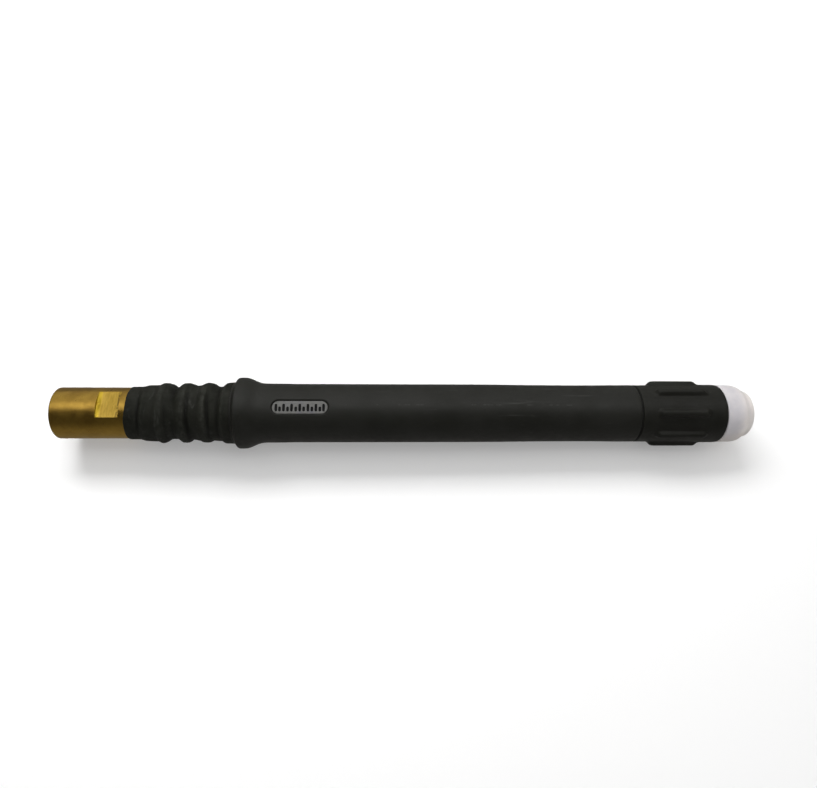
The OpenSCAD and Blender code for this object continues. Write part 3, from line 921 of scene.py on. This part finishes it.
def head_shape(x, r, a, i):
    if abs(r - 9.0) < 0.01:
        depth = 0.85 * smooth(229.4, 230.4, x) * (1 - smooth(244.6, 245.3, x))
        r = 9.0 - depth * (1 - thread_wave(x / 1.5 - a / TAU))
    elif abs(r - 4.35) < 0.01 and x > 243.7:
        depth = 0.42 * (1 - smooth(257.2, 257.95, x))
        r = 4.35 + depth * (1 - thread_wave(x / 0.794 - a / TAU))
    return x, r


finish_piece(lathe("head_threaded", head_rows, even(112), head_shape), "torch", "head_brass", "torch_head")

# ---------------------------------------------------------------- CAD pieces that stay

SLOTS = {s["node"]: s["material_slot"] for s in frame["record"]["subparts"]}
KEPT = ["inlet_seal_washer", "tail_nipple", "tail_o_ring", "lock_nut", "conductor_tube", "insulation_sleeve",
        "tube_spacers", "rear_bush", "front_bush", "bush_pins", "collet_stop", "head_o_ring",
        "cap_thread_insert", "insulator_o_ring"]
for n in KEPT:
    o = frame["nodes"][n]
    o.data.materials.clear()
    o.data.materials.append(MAT[SLOTS[n]])

# ---------------------------------------------------------------- floor and light

# The floor touches the flange and the two lower grip ribs, so it leans a little.
RIB_DOWN = 13.2 * math.cos(LIE)
LEAN = math.atan2(14.05 - RIB_DOWN, 245.0 - 70.5)


def plain_sheet(name, size, location):
    bm = bmesh.new()
    bmesh.ops.create_grid(bm, x_segments=24, y_segments=24, size=size)
    mesh = bpy.data.meshes.new(name)
    bm.to_mesh(mesh)
    bm.free()
    ob = bpy.data.objects.new(name, mesh)
    ob.location = location
    bpy.context.scene.collection.objects.link(ob)
    return ob


floor = plain_sheet("floor", 1.6, (at(70.5), 0, FLOOR_Z - 0.00006))
floor.rotation_euler = (0, -LEAN, 0)
fm = Nodes("floor_white")
# It glows a little more away from the torch, where the lamps no longer reach.
fx, fy, fz = fm.split()
away = fm.math("ADD", fm.math("ADD", fm.math("MULTIPLY", fx, fx), fm.math("MULTIPLY", fy, fy)), fm.math("MULTIPLY", fz, fz))
away = fm.span(fm.math("SQRT", away), 0.27, 0.62)
fm.set(Base_Color=(0.80, 0.80, 0.80), Roughness=0.9, Specular_IOR_Level=0.1,
       Emission_Color=fm.mix(away, (0.16, 0.16, 0.16), (0.82, 0.82, 0.82)), Emission_Strength=1.0)
floor.data.materials.append(fm.mat)
floor.visible_glossy = False

# A plain pale wall far behind, for the low views. It takes no part in the lighting.
bm = bmesh.new()
bmesh.ops.create_cone(bm, cap_ends=True, segments=64, radius1=2.9, radius2=2.9, depth=5.0)
wall_mesh = bpy.data.meshes.new("backdrop")
bm.to_mesh(wall_mesh)
bm.free()
wall = bpy.data.objects.new("backdrop", wall_mesh)
wall.location = (at(137), 0, 0)
bpy.context.scene.collection.objects.link(wall)
wm = Nodes("backdrop_pale")
wm.set(Base_Color=(0, 0, 0), Roughness=1.0, Specular_IOR_Level=0.0,
       Emission_Color=(0.95, 0.95, 0.95), Emission_Strength=1.0)
wall.data.materials.append(wm.mat)
wall.visible_glossy = False
wall.visible_diffuse = False
wall.visible_shadow = False
wall.visible_transmission = False


def aim(ob, target):
    """Turns a light to its target, with its long side along the torch."""
    back = (ob.location - Vector(target)).normalized()
    along = Vector((1, 0, 0))
    along = (along - back * along.dot(back)).normalized()
    side = back.cross(along)
    ob.rotation_mode = "QUATERNION"
    ob.rotation_quaternion = Matrix((along, side, back)).transposed().to_quaternion()


def soft_sun(name, towards, energy, width):
    d = bpy.data.lights.new(name, "SUN")
    d.energy = energy
    d.angle = math.radians(width)
    o = bpy.data.objects.new(name, d)
    bpy.context.scene.collection.objects.link(o)
    o.location = TILT @ Vector(towards)
    aim(o, (0, 0, 0))
    o.visible_glossy = False
    return o


def softbox(name, location, target, size_x, size_y, radiance, glossy=True):
    d = bpy.data.lights.new(name, "AREA")
    d.shape = "RECTANGLE"
    d.size, d.size_y = size_x, size_y
    d.energy = radiance * math.pi * size_x * size_y
    o = bpy.data.objects.new(name, d)
    bpy.context.scene.collection.objects.link(o)
    o.location = TILT @ Vector(location)
    aim(o, TILT @ Vector(target))
    o.visible_camera = False
    o.visible_glossy = glossy
    return o


softbox("key", (-0.23, 0.41, 0.22), (at(130), 0, 0), 0.46, 0.19, 9.0, glossy=False)
soft_sun("fill", (0.42, -0.25, 0.9), 1.15, 80)
softbox("strip", (at(110), 0.55, 0.86), (at(120), 0, 0), 1.7, 0.56, 1.12)
softbox("upper", (at(115), 1.06, 0.56), (at(120), 0, 0), 1.8, 0.55, 0.50)
softbox("side", (at(120), 1.20, -0.04), (at(120), 0, 0), 1.9, 0.80, 0.40)

# Dim room, a little lighter below the horizon.
world = bpy.data.worlds.new("studio")
world.use_nodes = True
wt = world.node_tree
bg = wt.nodes["Background"]
sky = wt.nodes.new("ShaderNodeTexCoord")
parts = wt.nodes.new("ShaderNodeSeparateXYZ")
ramp = wt.nodes.new("ShaderNodeMapRange")
ramp.inputs["From Min"].default_value = -0.30
ramp.inputs["From Max"].default_value = 0.35
ramp.inputs["To Min"].default_value = 0.20
ramp.inputs["To Max"].default_value = 0.06
wt.links.new(sky.outputs["Generated"], parts.inputs[0])
wt.links.new(parts.outputs[2], ramp.inputs["Value"])
wt.links.new(ramp.outputs["Result"], bg.inputs[1])
bg.inputs[0].default_value = (1.0, 0.98, 0.93, 1)
bpy.context.scene.world = world
bpy.context.scene.view_settings.view_transform = "Standard"
bpy.context.scene.view_settings.look = "None"
